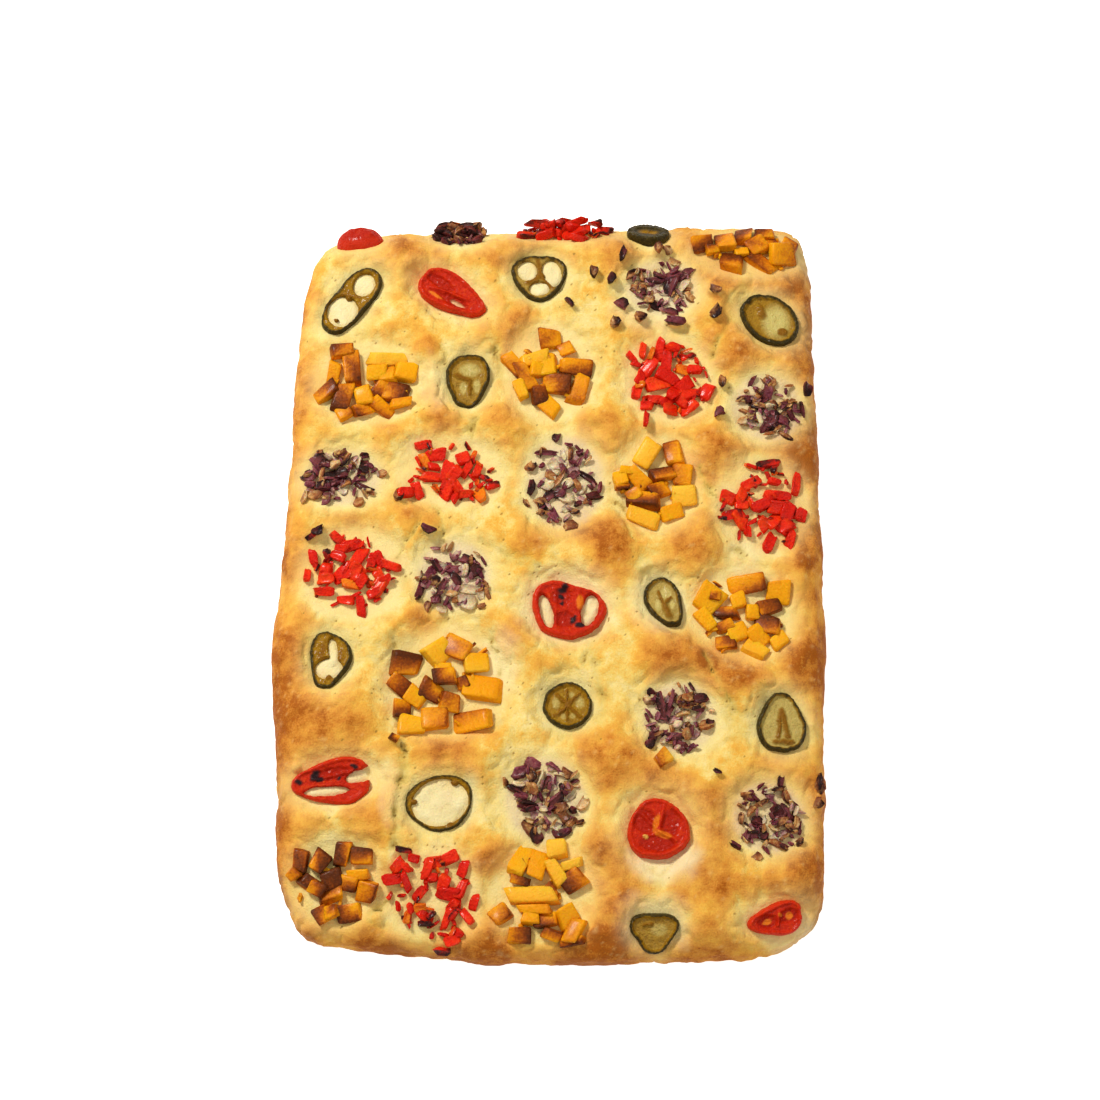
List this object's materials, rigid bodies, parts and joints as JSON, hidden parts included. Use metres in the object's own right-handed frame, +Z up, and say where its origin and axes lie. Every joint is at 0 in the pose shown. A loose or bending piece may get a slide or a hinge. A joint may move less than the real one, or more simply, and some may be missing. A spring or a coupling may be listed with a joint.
{
  "type": "focaccia",
  "caption": "Rectangular sheet focaccia with rounded corners, a puffed golden crust and rows of sliced and diced vegetables pressed into its dimples.",
  "frame": {"origin": "middle of the flat underside, which rests on the table", "axes": "+Z up, +Y along the length to the far short side, +X to the right"},
  "size_m": [0.2391, 0.3346, 0.0321],
  "materials": {
    "bread": "baked crust, pale in the dimples and golden brown on the swellings",
    "jalapeno": "roasted, moist, dark wrinkled skin with olive flesh",
    "tomato": "roasted, moist",
    "yellow_pepper": "roasted, oily, browned on top",
    "red_pepper": "roasted, oily",
    "red_onion": "roasted, dark purple and brown"
  },
  "bodies": {
    "root": {"bread": "bread", "yellow_pepper_1": "yellow_pepper", "yellow_pepper_2": "yellow_pepper", "yellow_pepper_3": "yellow_pepper", "yellow_pepper_4": "yellow_pepper", "yellow_pepper_5": "yellow_pepper", "yellow_pepper_6": "yellow_pepper", "yellow_pepper_7": "yellow_pepper", "yellow_pepper_8": "yellow_pepper", "red_pepper_1": "red_pepper", "red_pepper_2": "red_pepper", "red_pepper_3": "red_pepper", "red_pepper_4": "red_pepper", "red_pepper_5": "red_pepper", "red_pepper_6": "red_pepper", "red_onion_1": "red_onion", "red_onion_2": "red_onion", "red_onion_3": "red_onion", "red_onion_4": "red_onion", "red_onion_5": "red_onion", "red_onion_6": "red_onion", "red_onion_7": "red_onion", "red_onion_8": "red_onion", "red_onion_9": "red_onion", "jalapeno_1": "jalapeno", "jalapeno_2": "jalapeno", "jalapeno_3": "jalapeno", "jalapeno_4": "jalapeno", "jalapeno_5": "jalapeno", "jalapeno_6": "jalapeno", "jalapeno_7": "jalapeno", "jalapeno_8": "jalapeno", "jalapeno_9": "jalapeno", "jalapeno_10": "jalapeno", "jalapeno_11": "jalapeno", "tomato_1": "tomato", "tomato_2": "tomato", "tomato_3": "tomato", "tomato_4": "tomato", "tomato_5": "tomato", "tomato_6": "tomato"}
  },
  "joints": []
}
